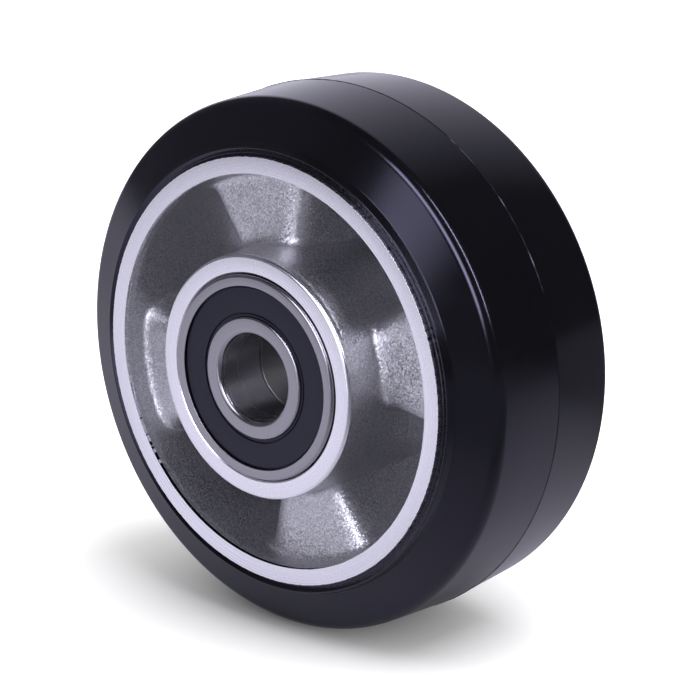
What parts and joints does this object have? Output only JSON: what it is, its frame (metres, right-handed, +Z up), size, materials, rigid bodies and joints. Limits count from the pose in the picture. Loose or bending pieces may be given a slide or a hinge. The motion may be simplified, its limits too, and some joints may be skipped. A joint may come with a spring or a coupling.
{
  "type": "rubber trolley wheel",
  "caption": "Heavy trolley wheel: elastic black rubber tyre bonded to a cast aluminium centre with raised pads and deep pockets, running on sealed ball bearings.",
  "frame": {"origin": "middle of the wheel, on its spin axis", "axes": "+Z up, +Y along the spin axis from the seen front face to the rear, +X to the right seen from the front"},
  "size_m": [0.125, 0.06, 0.125],
  "materials": {
    "tyre_rubber": "satin moulded rubber",
    "cast_aluminium": "fine sand-blasted casting, turned bright on the rim and hub faces",
    "ring_steel": "ground bearing steel",
    "seal_rubber": "smooth satin rubber",
    "cage_steel": "pressed sheet steel",
    "ball_steel": "polished steel",
    "spacer_steel": "turned steel tube"
  },
  "bodies": {
    "axle_side": {"front_inner_ring": "ring_steel", "rear_inner_ring": "ring_steel", "spacer_tube": "spacer_steel"},
    "wheel": {"tyre": "tyre_rubber", "wheel_centre": "cast_aluminium", "front_outer_ring": "ring_steel", "front_outside_seal": "seal_rubber", "front_inside_seal": "seal_rubber", "rear_outer_ring": "ring_steel", "rear_outside_seal": "seal_rubber", "rear_inside_seal": "seal_rubber"},
    "front_cage": {"front_outside_cage": "cage_steel", "front_inside_cage": "cage_steel", "front_rivets": "cage_steel", "front_ball_1": "ball_steel", "front_ball_2": "ball_steel", "front_ball_3": "ball_steel", "front_ball_4": "ball_steel", "front_ball_5": "ball_steel", "front_ball_6": "ball_steel", "front_ball_7": "ball_steel", "front_ball_8": "ball_steel"},
    "rear_cage": {"rear_outside_cage": "cage_steel", "rear_inside_cage": "cage_steel", "rear_rivets": "cage_steel", "rear_ball_1": "ball_steel", "rear_ball_2": "ball_steel", "rear_ball_3": "ball_steel", "rear_ball_4": "ball_steel", "rear_ball_5": "ball_steel", "rear_ball_6": "ball_steel", "rear_ball_7": "ball_steel", "rear_ball_8": "ball_steel"}
  },
  "joints": [
    {"name": "wheel_spin", "type": "hinge", "parent": "axle_side", "child": "wheel", "pos_m": [0, 0, 0], "axis": [0, 1, 0], "continuous": true},
    {"name": "front_cage_spin", "type": "hinge", "parent": "axle_side", "child": "front_cage", "pos_m": [0, -0.023, 0], "axis": [0, 1, 0], "continuous": true},
    {"name": "rear_cage_spin", "type": "hinge", "parent": "axle_side", "child": "rear_cage", "pos_m": [0, 0.023, 0], "axis": [0, 1, 0], "continuous": true}
  ],
  "couplings": [
    {"joint": "front_cage_spin", "follows": "wheel_spin", "ratio": 0.6185},
    {"joint": "rear_cage_spin", "follows": "wheel_spin", "ratio": 0.6185}
  ]
}
